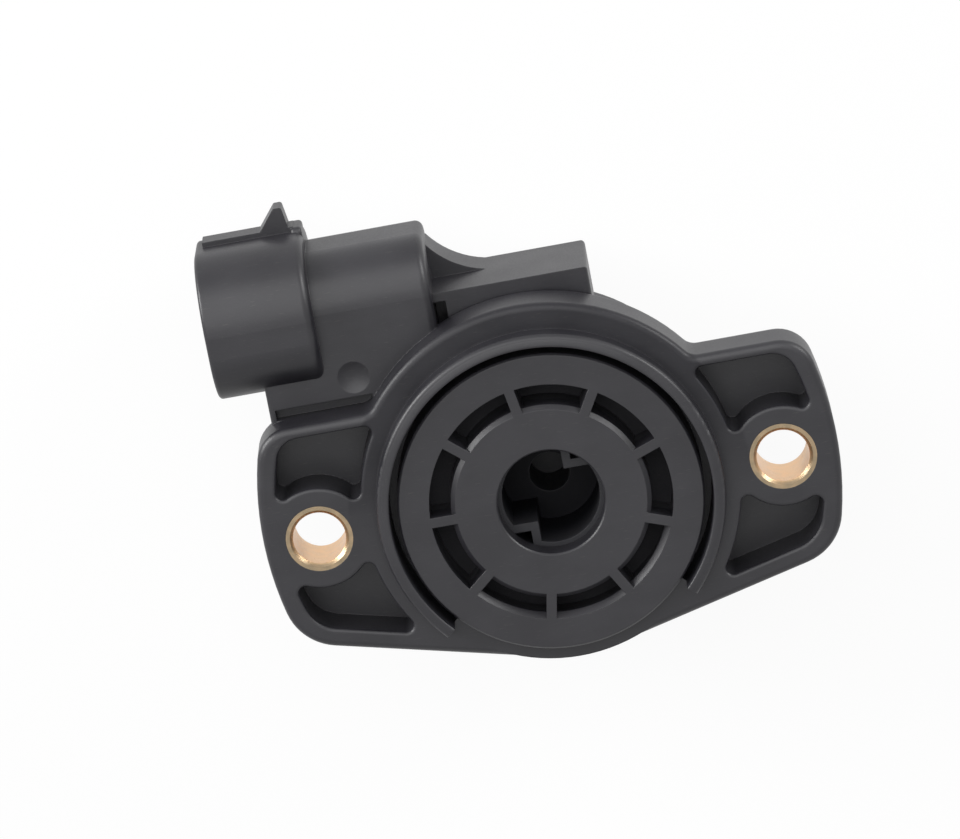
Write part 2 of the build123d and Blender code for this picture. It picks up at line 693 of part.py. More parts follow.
def conductor_traces():
    """Printed conductors: a pad round each rivet, leads to both ends of the track, and the collector."""
    half, front = TRACE_W / 2, BOARD_FRONT_Z + PRINT_T
    end = TRACK_START + TRACK_SWEEP
    supply = printed(TRACK_R - half, TRACK_R + half, pad_angle(0), TRACK_START - pad_angle(0))
    ground = printed(TRACK_R - half, TRACK_R + half, end, 360.0 + pad_angle(2) - end)
    inner, outer = COLLECTOR_R - TRACK_W / 2, COLLECTOR_R + TRACK_W / 2
    signal = printed(inner, outer, pad_angle(1), end - pad_angle(1))
    lead = block((COLLECTOR_R, PAD_RADIUS), (-half, half), (BOARD_FRONT_Z, front))
    signal += Rot(0, 0, pad_angle(1)) * lead
    traces = []
    for n, lead in enumerate((supply, signal, ground)):
        place = pad_place(n)
        lead += disc(PRINT_PAD_R, BOARD_FRONT_Z, front, *place)
        traces.append(lead - disc(RIVET_HEAD_R, BOARD_FRONT_Z, front, *place))
    return Compound(traces)


def rear_cover():
    """Rear cover with the tail bearing and the ring that clamps the board."""
    cover = disc(COVER_SEAT_R - SEAT_GAP, COVER_BACK_Z, COVER_IN_Z)
    cover = chamfer(at_level(cover, Axis.Z, COVER_BACK_Z), COVER_PROUD)
    cover -= disc(COVER_DISH_R, COVER_BACK_Z, COVER_BACK_Z + COVER_DISH)
    clamp_r = BOARD_SEAT_R - SEAT_GAP
    clamp = ring(clamp_r - COVER_RING_W, clamp_r, COVER_IN_Z, BOARD_BACK_Z)
    clamp -= sector(clamp_r - 2 * COVER_RING_W, clamp_r + OVER, *COVER_GATE, COVER_IN_Z, BOARD_BACK_Z)
    boss_r = TAIL_R + RUN_GAP + COVER_BOSS_WALL
    bearing = ring(TAIL_R + RUN_GAP, boss_r, COVER_IN_Z, SHOULDER_Z - END_GAP)
    return cover + clamp + bearing


def terminal_rivets():
    """Three rivets through the terminals and the board."""
    rivets = []
    for n in range(3):
        place = pad_place(n)
        front, back = BOARD_FRONT_Z, FLAG_Z
        rivet = disc(RIVET_R, back - RIVET_HEAD_T, front + RIVET_HEAD_T, *place)
        rivet += disc(RIVET_HEAD_R, front, front + RIVET_HEAD_T, *place)
        rivet += disc(RIVET_HEAD_R, back - RIVET_HEAD_T, back, *place)
        rivets.append(rivet)
    return Compound(rivets)


PARTS = {
    "housing": housing,
    "left_bushing": lambda: bushing(-HOLE_X),
    "right_bushing": lambda: bushing(HOLE_X),
    "rotor": rotor,
    "rotor_seal": rotor_seal,
    "return_spring": return_spring,
    "wiper": wiper,
    "track_board": track_board,
    "resistive_track": resistive_track,
    "conductor_traces": conductor_traces,
    "supply_terminal": lambda: terminal(0),
    "signal_terminal": lambda: terminal(1),
    "ground_terminal": lambda: terminal(2),
    "terminal_rivets": terminal_rivets,
    "rear_cover": rear_cover,
}

os.makedirs("parts", exist_ok=True)
for name, make in PARTS.items():
    export_step(make(), f"parts/{name}.step")
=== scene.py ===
"""Looks of a throttle position sensor: finishes, small moulding details, studio and camera."""
import logging
import math
from dataclasses import dataclass
from enum import Enum
from typing import Any, Mapping, Sequence, Union

import bmesh
import bpy
from mathutils import Matrix, Vector, noise


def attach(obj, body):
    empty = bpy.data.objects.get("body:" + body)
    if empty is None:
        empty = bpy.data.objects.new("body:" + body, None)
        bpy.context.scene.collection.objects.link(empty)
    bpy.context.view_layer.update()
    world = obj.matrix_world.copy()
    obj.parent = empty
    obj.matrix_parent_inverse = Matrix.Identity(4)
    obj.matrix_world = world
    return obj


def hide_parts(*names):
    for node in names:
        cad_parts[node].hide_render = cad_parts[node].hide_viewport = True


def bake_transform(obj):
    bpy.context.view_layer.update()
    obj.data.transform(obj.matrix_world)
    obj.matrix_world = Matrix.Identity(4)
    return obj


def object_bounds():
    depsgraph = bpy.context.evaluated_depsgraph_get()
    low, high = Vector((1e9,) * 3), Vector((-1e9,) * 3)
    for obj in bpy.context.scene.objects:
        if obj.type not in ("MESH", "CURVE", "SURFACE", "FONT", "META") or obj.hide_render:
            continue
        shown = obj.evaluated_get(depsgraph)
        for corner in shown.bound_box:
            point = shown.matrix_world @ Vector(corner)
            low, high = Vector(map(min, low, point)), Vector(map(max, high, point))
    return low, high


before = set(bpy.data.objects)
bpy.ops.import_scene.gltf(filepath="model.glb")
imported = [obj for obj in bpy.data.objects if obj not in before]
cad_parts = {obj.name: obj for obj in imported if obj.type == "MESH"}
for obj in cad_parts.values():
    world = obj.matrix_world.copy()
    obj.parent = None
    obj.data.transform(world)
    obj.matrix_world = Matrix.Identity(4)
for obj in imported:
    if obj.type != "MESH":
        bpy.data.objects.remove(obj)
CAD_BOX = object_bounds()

log = logging.getLogger("sensor")

MM = 0.001  # one millimetre in the scene's metres
SHARP = math.radians(40.0)  # edges that turn further stay sharp
MERGE = 1e-7  # points nearer than this are one
EDGE_SAMPLES = 4  # rays that round an edge in the shading
QUARTER = 90.0  # degrees
Triple = tuple[float, float, float]
Rgb = Triple
Pair = tuple[float, float]
Value = Union["Sock", float, Sequence[float]]


class Body(Enum):
    """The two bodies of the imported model."""

    SENSOR = "sensor_body"
    ROTOR = "rotor_body"


class Sock:
    """A node's output that Python operators join into Math nodes."""

    def __init__(self, tree: "Shader", socket: bpy.types.NodeSocket | None) -> None:
        """Keeps the output, if the node has one, and the tree it belongs to."""
        self.tree = tree
        self.socket = socket

    def math(self, operation: str, *values: Value) -> "Sock":
        """Output of a new Math node with this operation, and these inputs in order."""
        return self.tree.add("ShaderNodeMath", {"operation": operation}, dict(enumerate(values)))

    def __add__(self, other: Value) -> "Sock":
        """self + other."""
        return self.math("ADD", self, other)

    def __radd__(self, other: Value) -> "Sock":
        """other + self."""
        return self.math("ADD", other, self)

    def __sub__(self, other: Value) -> "Sock":
        """self - other."""
        return self.math("SUBTRACT", self, other)

    def __rsub__(self, other: Value) -> "Sock":
        """other - self."""
        return self.math("SUBTRACT", other, self)

    def __mul__(self, other: Value) -> "Sock":
        """self * other."""
        return self.math("MULTIPLY", self, other)

    def __rmul__(self, other: Value) -> "Sock":
        """other * self."""
        return self.math("MULTIPLY", other, self)

    def __pow__(self, other: Value) -> "Sock":
        """self ** other."""
        return self.math("POWER", self, other)

    def wave(self) -> "Sock":
        """Sine of an angle in radians."""
        return self.math("SINE", self)

    def ramp(self, low: float, high: float) -> "Sock":
        """Eases from 0 at low to 1 at high. Low may be the greater."""
        inputs = {"Value": self, "From Min": low, "From Max": high}
        return self.tree.add("ShaderNodeMapRange", {"interpolation_type": "SMOOTHSTEP"}, inputs)


class Shader:
    """Node tree of one material or of the world."""

    def __init__(self, tree: bpy.types.NodeTree) -> None:
        """Empties a tree and keeps it.

        Args:
            tree: The tree of a material or of the world.
        """
        self.nodes = tree.nodes
        self.links = tree.links
        self.nodes.clear()

    def add(
        self,
        kind: str,
        settings: Mapping[str, Any] | None = None,
        inputs: Mapping[Union[str, int], Value] | None = None,
        output: Union[str, int] = 0,
    ) -> Sock:
        """Adds any node.

        Args:
            kind: The node's type.
            settings: Properties of the node, set before its sockets.
            inputs: A value or a link for each socket, by name or number.
            output: The output wanted, by name or number.

        Returns:
            That output.
        """
        node = self.nodes.new(kind)
        for key, setting in (settings or {}).items():
            setattr(node, key, setting)
        for key, value in (inputs or {}).items():
            self.feed(node.inputs[key], value)
        return Sock(self, node.outputs[output] if node.outputs else None)

    def feed(self, socket: bpy.types.NodeSocket, value: Value) -> None:
        """Links a socket, or sets its value.

        Args:
            socket: The input.
            value: An output to link, a number, a vector or a colour.
        """
        if isinstance(value, Sock):
            self.links.new(value.socket, socket)
        elif isinstance(value, (int, float)):
            socket.default_value = value
        else:
            wide = len(socket.default_value) == 4 and len(value) == 3
            socket.default_value = (*value, 1.0) if wide else value

    def place(self, stretch: Triple = (1.0, 1.0, 1.0), turn: Triple = (0.0, 0.0, 0.0)) -> Sock:
        """Object coordinates in millimetres, stretched and turned for a pattern.

        Args:
            stretch: Scale along each axis.
            turn: Turn about each axis, in degrees.

        Returns:
            The mapped coordinates.
        """
        where = self.add("ShaderNodeTexCoord", output="Object")
        scale = tuple(s / MM for s in stretch)
        angles = tuple(math.radians(a) for a in turn)
        return self.add("ShaderNodeMapping", None, {"Vector": where, "Rotation": angles, "Scale": scale})

    def axis(self, place: Sock, name: str) -> Sock:
        """One coordinate of a place."""
        return self.add("ShaderNodeSeparateXYZ", None, {0: place}, name)

    def radius(self, place: Sock, x: float = 0.0) -> Sock:
        """Distance from an upright axis at x, in the place's units."""
        dx, dy = self.axis(place, "X") - x, self.axis(place, "Y")
        return (dx * dx + dy * dy) ** 0.5

    def cloud(self, place: Sock, scale: float, detail: float = 2.0) -> Sock:
        """Noise with features of about 1/scale."""
        return self.add("ShaderNodeTexNoise", None, {"Vector": place, "Scale": scale, "Detail": detail})

    def mix(self, factor: Value, first: Value, second: Value) -> Sock:
        """Lays the second colour over the first, by a factor."""
        return self.add("ShaderNodeMix", {"data_type": "RGBA"}, {0: factor, 6: first, 7: second}, 2)

    def bump(self, height: Sock, depth: float, round_edges: float = 0.0) -> Sock:
        """Relief as a normal.

        Args:
            height: The relief, from 0 to 1.
            depth: Its depth in millimetres.
            round_edges: Radius in millimetres that sharp edges are shaded with.

        Returns:
            The normal.
        """
        inputs: dict[Union[str, int], Value] = {"Strength": 1.0, "Distance": depth * MM, "Height": height}
        if round_edges:
            inputs["Normal"] = self.rounded(round_edges)
        return self.add("ShaderNodeBump", None, inputs)

    def rounded(self, radius: float) -> Sock:
        """Normal with sharp edges shaded as round, by a radius in millimetres."""
        return self.add("ShaderNodeBevel", {"samples": EDGE_SAMPLES}, {"Radius": radius * MM})

    def surface(self, dull: Sock | None = None, shade_gloss: float = 0.0, **sockets: Value) -> None:
        """Ends the tree in a Principled surface.

        Args:
            dull: Where painted shade makes the surface duller, from 0 to 1.
            shade_gloss: Its specular level there.
            sockets: Values by socket, with underscores for spaces.
        """
        inputs = {key.replace("_", " "): value for key, value in sockets.items()}
        shell = self.add("ShaderNodeBsdfPrincipled", None, inputs)
        # A duller copy of the surface, mixed in where the mask is, paints shade.
        if dull is not None:
            inputs["Specular IOR Level"] = shade_gloss
            matt = self.add("ShaderNodeBsdfPrincipled", None, inputs)
            shell = self.add("ShaderNodeMixShader", None, {0: dull, 1: shell, 2: matt})
        self.add("ShaderNodeOutputMaterial", None, {"Surface": shell})


@dataclass(frozen=True)
class Finish:
    """A finish with a name of its own. Its lengths are in millimetres."""

    name: str

    def material(self) -> bpy.types.Material:
        """Builds the material with this finish.

        Returns:
            A material of its own, with its tree filled.
        """
        made = bpy.data.materials.new(self.name)
        made.use_nodes = True
        self.shade(Shader(made.node_tree))
        return made

    def shade(self, s: Shader) -> None:
        """Fills the material's empty tree."""
        raise NotImplementedError


@dataclass(frozen=True)
class MouldedPlastic(Finish):
    """Filled plastic with a fine matt grain, faint flow bands and pale fibre flecks.

    The mould's unpolished cores leave hollows near the axis rougher than the rest. Painted shade makes the
    upper half of a ring about the axis, beside the lip, duller. Painted shade also makes a deep socket
    darker downwards.
    """

    colour: Rgb = (0.010, 0.0095, 0.0125)
    bloom: Rgb = (0.016, 0.0155, 0.0190)
    fleck: Rgb = (0.050, 0.048, 0.046)
    roughness: float = 0.42
    gloss: float = 0.50
    haze: float = 0.16
    haze_rough: float = 0.18
    flow: float = 0.5
    flow_stretch: Triple = (0.25, 0.9, 0.25)
    flow_turn: Triple = (0.0, 0.0, 10.0)
    flow_share: float = 0.4
    bloom_band: Pair = (0.36, 0.64)
    fibre: float = 2.2
    fibre_stretch: Triple = (0.5, 4.0, 4.0)
    fibre_turn: Triple = (0.0, 20.0, 35.0)
    fibre_band: Pair = (0.66, 0.78)
    fibre_share: float = 0.35
    grain: float = 6.0
    grain_rough: float = 0.16
    grain_depth: float = 0.010
    pit: float = 0.37
    pit_share: float = 0.35
    edge: float = 0.12
    core_r: float = 0.0
    core_soft: float = 0.2
    core_top: float = -0.4
    core_low: float = -1.8
    core_roughness: float = 0.40
    # The ring's fields place a painted shade: a lower specular level on its upper half, beside the lip.
    ring_r: float = 0.0
    ring_soft: float = 0.3
    ring_out_r: float = 19.6
    ring_out_soft: float = 0.4
    ring_low: float = -0.9
    ring_rise: float = 0.7
    ring_fade: Pair = (-2.0, 7.0)
    # The socket's fields paint shade: its colour and specular level darken towards its deep end.
    socket_top: float = 0.0
    socket_low: float = 0.0
    socket_r: float = 2.0
    socket_soft: float = 0.1
    socket_shade_colour: Rgb = (0.005, 0.005, 0.007)
    # Specular level where the painted shade falls.
    shade_gloss: float = 0.32

    def shade(self, s: Shader) -> None:
        """Fills the material's tree.

        Args:
            s: The tree, still empty.
        """
        place = s.place()
        haze = s.cloud(place, self.haze, 4.0)
        flow = s.cloud(s.place(self.flow_stretch, self.flow_turn), self.flow, 3.0)
        grain = s.cloud(place, self.grain)
        pits = s.cloud(place, self.grain * self.pit, 1.0)
        fibres = s.cloud(s.place(self.fibre_stretch, self.fibre_turn), self.fibre, 1.0)
        bands = haze * (1.0 - self.flow_share) + flow * self.flow_share
        tone = s.mix(bands.ramp(*self.bloom_band), self.colour, self.bloom)
        tone = s.mix(fibres.ramp(*self.fibre_band) * self.fibre_share, tone, self.fleck)
        rough = self.roughness + (haze - 0.5) * self.haze_rough + (grain - 0.5) * self.grain_rough
        if self.core_r:
            rough = rough + self.core(s, place) * self.core_roughness
        height = grain * (1.0 - self.pit_share) + pits * self.pit_share
        relief = s.bump(height, self.grain_depth, self.edge)
        dull = None
        # Painted shade on the ring's upper half, beside the lip: a lower specular level.
        if self.ring_r:
            dull = self.ring(s, place)
        # Painted shade: the socket darkens towards its deep end, in colour and in gloss.
        if self.socket_low:
            dull = self.socket(s, place)
            tone = s.mix(dull, tone, self.socket_shade_colour)
        s.surface(
            dull,
            self.shade_gloss,
            Base_Color=tone,
            Roughness=rough,
            Specular_IOR_Level=self.gloss,
            Normal=relief,
        )

    def core(self, s: Shader, place: Sock) -> Sock:
        """Mask of the hollows near the axis."""
        near = 1.0 - s.radius(place).ramp(self.core_r, self.core_r + self.core_soft)
        return near * s.axis(place, "Z").ramp(self.core_top, self.core_low)

    def ring(self, s: Shader, place: Sock) -> Sock:
        """Mask of the painted shade on the ring's upper half, beside the lip, which fades at its edges.

        Args:
            s: The material's tree.
            place: Object coordinates in millimetres.

        Returns:
            1 on that half, 0 elsewhere.
        """
        r = s.radius(place)
        outside = r.ramp(self.ring_r, self.ring_r + self.ring_soft)
        band = outside * r.ramp(self.ring_out_r + self.ring_out_soft, self.ring_out_r)
        face = band * s.axis(place, "Z").ramp(self.ring_low, self.ring_low + self.ring_rise)
        return face * s.axis(place, "Y").ramp(*self.ring_fade)

    def socket(self, s: Shader, place: Sock) -> Sock:
        """Mask of the painted shade at the socket's deep end, apart from the core hole in its floor."""
        deep = s.axis(place, "Z").ramp(self.socket_top, self.socket_low)
        return deep * s.radius(place).ramp(self.socket_r, self.socket_r + self.socket_soft)


@dataclass(frozen=True)
class TurnedMetal(Finish):
    """Turned metal with fine tool rings about an upright axis, duller on its end than in its bore."""

    end: Rgb
    bore: Rgb
    x: float = 0.0
    roughness: float = 0.30
    pitch: float = 0.11
    waver: float = 0.2
    depth: float = 0.003
    ring_rough: float = 0.05
    haze: float = 0.9
    haze_band: Pair = (0.35, 0.7)
    haze_share: float = 0.15
    haze_rough: float = 0.2
    bore_fade: Pair = (0.1, 0.5)

    def shade(self, s: Shader) -> None:
        """Fills the material's tree.

        Args:
            s: The tree, still empty.
        """
        place = s.place()
        haze = s.cloud(place, self.haze, 3.0)
        run = s.radius(place, self.x) + s.axis(place, "Z") + s.cloud(place, 2.0, 1.0) * self.waver
        rings = (run * (math.tau / self.pitch)).wave() * 0.5 + 0.5
        inside = (s.axis(place, "Z") * -1.0).ramp(*self.bore_fade)
        share = inside * (1.0 - self.haze_share) + haze.ramp(*self.haze_band) * self.haze_share
        tone = s.mix(share, self.end, self.bore)
        rough = self.roughness + (haze - 0.5) * self.haze_rough + rings * self.ring_rough
        s.surface(Base_Color=tone, Metallic=1.0, Roughness=rough, Normal=s.bump(rings, self.depth))


@dataclass(frozen=True)
class RolledMetal(Finish):
    """Strip or wire with fine rolling lines and a soft mottle."""

    colour: Rgb
    dull: Rgb
    lines: Triple = (0.3, 6.0, 6.0)
    line_rough: float = 0.2
    roughness: float = 0.3
    depth: float = 0.003
    edge: float = 0.06
    mottle: float = 0.8
    mottle_band: Pair = (0.4, 0.68)
    mottle_rough: float = 0.25

    def shade(self, s: Shader) -> None:
        """Fills the material's tree.

        Args:
            s: The tree, still empty.
        """
        mottle = s.cloud(s.place(), self.mottle, 4.0)
        lines = s.cloud(s.place(self.lines), 2.0, 2.0)
        tone = s.mix(mottle.ramp(*self.mottle_band), self.colour, self.dull)
        rough = self.roughness + (mottle - 0.5) * self.mottle_rough + (lines - 0.5) * self.line_rough
        relief = s.bump(lines, self.depth, self.edge)
        s.surface(Base_Color=tone, Metallic=1.0, Roughness=rough, Normal=relief)


@dataclass(frozen=True)
class Laminate(Finish):
    """Pressed board with the weave of its cloth just showing."""

    colour: Rgb = (0.105, 0.058, 0.026)
    thread: Rgb = (0.190, 0.112, 0.052)
    pitch: float = 0.55
    depth: float = 0.006
    roughness: float = 0.38
    weave_share: float = 0.45
    stain: float = 0.3
    stain_band: Pair = (0.35, 0.75)
    stain_share: float = 0.4
    stain_rough: float = 0.2

    def shade(self, s: Shader) -> None:
        """Fills the material's tree.

        Args:
            s: The tree, still empty.
        """
        place = s.place()
        step = math.tau / self.pitch
        over = (s.axis(place, "X") * step).wave()
        under = (s.axis(place, "Y") * step).wave()
        weave = (over * under) * 0.5 + 0.5
        stain = s.cloud(place, self.stain, 4.0)
        share = weave * self.weave_share + stain.ramp(*self.stain_band) * self.stain_share
        tone = s.mix(share, self.colour, self.thread)
        rough = self.roughness + stain * self.stain_rough
        s.surface(Base_Color=tone, Roughness=rough, Normal=s.bump(weave, self.depth))


@dataclass(frozen=True)
class PrintedInk(Finish):
    """Screen-printed ink: speckled, with the fingers' running lines worn in."""

    colour: Rgb
    speck: Rgb
    metallic: float
    roughness: float
    worn_pitch: float = 0.75
    worn_band: Pair = (0.75, 1.0)
    worn_rough: float = 0.12
    speck_scale: float = 9.0
    speck_band: Pair = (0.5, 0.75)
    speck_share: float = 0.7
    speck_rough: float = 0.2
    depth: float = 0.006

    def shade(self, s: Shader) -> None:
        """Fills the material's tree.

        Args:
            s: The tree, still empty.
        """
        place = s.place()
        specks = s.cloud(place, self.speck_scale, 1.0)
        lines = (s.radius(place) * (math.tau / self.worn_pitch)).wave().ramp(*self.worn_band)
        tone = s.mix(specks.ramp(*self.speck_band) * self.speck_share, self.colour, self.speck)
        rough = self.roughness + (specks - 0.5) * self.speck_rough - lines * self.worn_rough
        relief = s.bump(specks, self.depth)
        s.surface(Base_Color=tone, Metallic=self.metallic, Roughness=rough, Normal=relief)


@dataclass(frozen=True)
class Assembly:
    """A group of CAD nodes with the small pieces that are added to them.

    Its sizes are in millimetres and degrees.
    """

    def dress(self) -> None:
        """Paints the nodes and adds the pieces."""
        raise NotImplementedError

    def paint(self, finish: Finish, *names: str) -> None:
        """Gives CAD nodes a finish.

        Args:
            finish: The finish.
            names: The nodes.
        """
        made = finish.material()
        for name in names:
            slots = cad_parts[name].data.materials
            slots.clear()
            slots.append(made)
            log.info("%s: %s", name, finish.name)

    def piece(self, name: str, mesh: bmesh.types.BMesh, finish: Finish, slot: str) -> bpy.types.Object:
        """Makes an object of a finished mesh, which still has to ride on a body.

        Args:
            name: The piece's name.
            mesh: Its mesh, in metres in the CAD frame.
            finish: Its finish.
            slot: Name of the record's material slot; not used.

        Returns:
            The object.
        """
        ends = [edge for edge in mesh.edges if edge.is_boundary]
        bmesh.ops.holes_fill(mesh, edges=ends, sides=0)
        bmesh.ops.remove_doubles(mesh, verts=mesh.verts, dist=MERGE)
        bmesh.ops.recalc_face_normals(mesh, faces=mesh.faces)
        for face in mesh.faces:
            face.smooth = True
        for edge in mesh.edges:
            edge.smooth = edge.calc_face_angle(0.0) < SHARP
        data = bpy.data.meshes.new(name)
        mesh.to_mesh(data)
        mesh.free()
        data.materials.append(finish.material())
        made = bpy.data.objects.new(name, data)
        bpy.context.scene.collection.objects.link(made)
        log.info("%s: %d faces", name, len(data.polygons))
        return made


@dataclass(frozen=True)
class Housing(Assembly):
    """One-piece moulded housing, with the marks that its mould leaves."""

    # ring_r places the painted shade on the ring face beside the lip.
    plastic: MouldedPlastic = MouldedPlastic("housing_plastic", core_r=12.4, ring_r=17.0)
    lip_in_r: float = 15.82
    lip_crest_r: float = 16.1
    lip_fall_r: float = 16.62
    lip_out_r: float = 17.04
    lip_crest: float = 2.42
    lip_fall: float = 2.31
    lip_shoulder: float = 1.95
    lip_root_r: float = 16.3
    lip_root: float = -0.2
    lip_low: float = -3.3
    lip_start: float = -43.2
    lip_sweep: float = 266.4
    slope_r: float = 11.95
    slope_low_r: float = 11.3
    slope_top: float = 1.585
    slope_low: float = 0.85
    slope_start: float = 220.0
    slope_sweep: float = 120.0
    arc_step: float = 1.5
    arc_round: float = 0.16
    round_segments: int = 5

    def dress(self) -> None:
        """Paints the housing, crowns its lip and slopes its low slots."""
        self.paint(self.plastic, "housing")
        self.lip_crown()
        self.slot_slope()

    def lip_crown(self) -> None:
        """Crown of the lip, which falls outwards and narrows the groove."""
        corners = (
            (self.lip_in_r, self.lip_low),
            (self.lip_in_r, self.lip_crest),
            (self.lip_crest_r, self.lip_crest),
            (self.lip_fall_r, self.lip_fall),
            (self.lip_out_r, self.lip_shoulder),
            (self.lip_out_r, self.lip_root),
            (self.lip_root_r, self.lip_root),
            (self.lip_root_r, self.lip_low),
        )
        self.arc("lip_crown", corners, (1, 3, 4), self.lip_start, self.lip_sweep)

    def slot_slope(self) -> None:
        """Slope at the outer edge of the three lowest slots. It runs on inside the ribs between them."""
        corners = (
            (self.slope_r, self.slope_low),
            (self.slope_low_r, self.slope_low),
            (self.slope_r, self.slope_top),
        )
        self.arc("slot_slope", corners, (1,), self.slope_start, self.slope_sweep)

    def arc(
        self,
        name: str,
        corners: Sequence[Pair],
        rounded: Sequence[int],
        start: float,
        sweep: float,
    ) -> None:
        """Turns a section about the rotor axis, through part of a circle.

        Args:
            name: The piece's name.
            corners: Radius and height of the section's corners.
            rounded: Numbers of the corners that are rounded.
            start: Angle of the first end, in degrees.
            sweep: Angle from there to the other end.
        """
        mesh = bmesh.new()
        section = [mesh.verts.new((r * MM, 0.0, z * MM)) for r, z in corners]
        mesh.faces.new(section)
        bmesh.ops.bevel(
            mesh,
            geom=[section[n] for n in rounded],
            offset=self.arc_round * MM,
            affect="VERTICES",
            segments=self.round_segments,
            profile=0.5,
            material=-1,
        )
        bmesh.ops.transform(mesh, matrix=Matrix.Rotation(math.radians(start), 4, "Z"), verts=mesh.verts)
        bmesh.ops.spin(
            mesh,
            geom=mesh.faces[:],
            cent=(0.0, 0.0, 0.0),
            axis=(0.0, 0.0, 1.0),
            angle=math.radians(sweep),
            steps=round(sweep / self.arc_step),
        )
        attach(self.piece(name, mesh, self.plastic, "housing_plastic"), Body.SENSOR.value)


@dataclass(frozen=True)
class ScrewSleeves(Assembly):
    """Two turned sleeves that take the screws' load."""

    hole_x: float = 23.0
    end: Rgb = (0.28, 0.22, 0.145)
    bore: Rgb = (0.86, 0.55, 0.30)

    def dress(self) -> None:
        """Paints both sleeves."""
        for name, x in (("left_bushing", -self.hole_x), ("right_bushing", self.hole_x)):
            self.paint(TurnedMetal(f"{name}_brass", self.end, self.bore, x), name)


@dataclass(frozen=True)
class WireRun:
    """One stretch of a wire, which turns about an axis, rises, or does both."""

    steps: int
    turn: float = 0.0
    rise: float = 0.0
    centre: Triple = (0.0, 0.0, 0.0)
    axis: Triple = (0.0, 0.0, 1.0)

    def draw(self, mesh: bmesh.types.BMesh, tip: Sequence[Any]) -> list[Any]:
        """Draws the wire on from its open end.

        Args:
            mesh: The wire's mesh.
            tip: Vertices and edges of its open end.

        Returns:
            Those of the new open end.
        """
        return bmesh.ops.spin(
            mesh,
            geom=tip,
            cent=Vector(self.centre) * MM,
            axis=self.axis,
            dvec=(0.0, 0.0, self.rise * MM / self.steps),
            angle=math.radians(self.turn),
            steps=self.steps,
        )["geom_last"]


@dataclass(frozen=True)
class DriveRotor(Assembly):
    """Rotor with its ring seal and return spring."""

    plastic: MouldedPlastic = MouldedPlastic(
        "rotor_plastic",
        (0.016, 0.016, 0.019),
        (0.022, 0.022, 0.026),
        roughness=0.55,
        gloss=0.40,
        # Painted shade darkens the drive socket towards its deep end.
        socket_top=-1.6,
        socket_low=-6.5,
        shade_gloss=0.14,
    )
    rubber: MouldedPlastic = MouldedPlastic(
        "seal_rubber", (0.009, 0.009, 0.009), (0.016, 0.016, 0.016), roughness=0.62, grain=3.0
    )
    wire: RolledMetal = RolledMetal("spring_steel", (0.56, 0.56, 0.57), (0.42, 0.42, 0.43))
    wire_r: float = 0.35
    wire_sides: int = 16
    coil_r: float = 8.75
    coil_start: float = 90.0
    coil_low: float = -7.5
    coil_top: float = -5.5
    coil_turn: float = 900.0
    coil_steps: int = 150
    bend_r: float = 0.6
    bend_steps: int = 8
    leg_low: float = -9.9
    leg_top: float = -3.1

    def dress(self) -> None:
        """Paints the rotor and its seal, and winds the spring."""
        self.paint(self.plastic, "rotor")
        self.paint(self.rubber, "rotor_seal")
        self.torsion_spring()

    def torsion_spring(self) -> None:
        """Return spring as one round wire, from its leg in the rotor to its leg in the housing.

        The real spring twists as the rotor turns, its low end with the rotor and its top end fixed; it is
        drawn here at rest.
        """
        mesh = bmesh.new()
        foot = Vector((self.coil_r, -self.bend_r, self.leg_low)) * MM
        bmesh.ops.create_circle(
            mesh,
            cap_ends=False,
            segments=self.wire_sides,
            radius=self.wire_r * MM,
            matrix=Matrix.Translation(foot),
        )
        tip = mesh.verts[:] + mesh.edges[:]
        low_bend, top_bend = self.coil_low - self.bend_r, self.coil_top + self.bend_r
        far = Matrix.Rotation(math.radians(self.coil_turn), 3, "Z")
        out = Vector((1.0, 0.0, 0.0))
        top_centre = far @ Vector((self.coil_r, 0.0, top_bend))
        runs = (
            WireRun(1, rise=low_bend - self.leg_low),
            WireRun(self.bend_steps, -QUARTER, centre=(self.coil_r, 0.0, low_bend), axis=tuple(out)),
            WireRun(self.coil_steps, self.coil_turn, self.coil_top - self.coil_low),
            WireRun(self.bend_steps, QUARTER, centre=tuple(top_centre), axis=tuple(far @ out)),
            WireRun(1, rise=self.leg_top - top_bend),
        )
        for run in runs:
            tip = run.draw(mesh, tip)
        start = Matrix.Rotation(math.radians(self.coil_start), 4, "Z")
        bmesh.ops.transform(mesh, matrix=start, verts=mesh.verts)
        spring = self.piece("torsion_spring", mesh, self.wire, "spring_steel")
        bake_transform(spring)
        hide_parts("return_spring")


@dataclass(frozen=True)
class SensingElement(Assembly):
    """Board with its printed tracks, the wiper and the rivets."""

    board: Laminate = Laminate("board_laminate")
    carbon: PrintedInk = PrintedInk("carbon_print", (0.012, 0.012, 0.013), (0.040, 0.040, 0.042), 0.0, 0.5)
    silver: PrintedInk = PrintedInk("silver_print", (0.62, 0.61, 0.58), (0.78, 0.77, 0.74), 1.0, 0.45)
    spring_bronze: RolledMetal = RolledMetal("contact_metal", (0.74, 0.58, 0.34), (0.58, 0.42, 0.24))

    def dress(self) -> None:
        """Paints the pieces."""
        self.paint(self.board, "track_board")
        self.paint(self.carbon, "resistive_track")
        self.paint(self.silver, "conductor_traces")
        self.paint(self.spring_bronze, "wiper", "terminal_rivets")


@dataclass(frozen=True)
class Terminals(Assembly):
    """Three tinned blades in the connector."""

    tin: RolledMetal = RolledMetal("terminal_tin", (0.76, 0.75, 0.72), (0.60, 0.58, 0.54), roughness=0.24)

    def dress(self) -> None:
        """Paints the blades."""
        self.paint(self.tin, "supply_terminal", "signal_terminal", "ground_terminal")


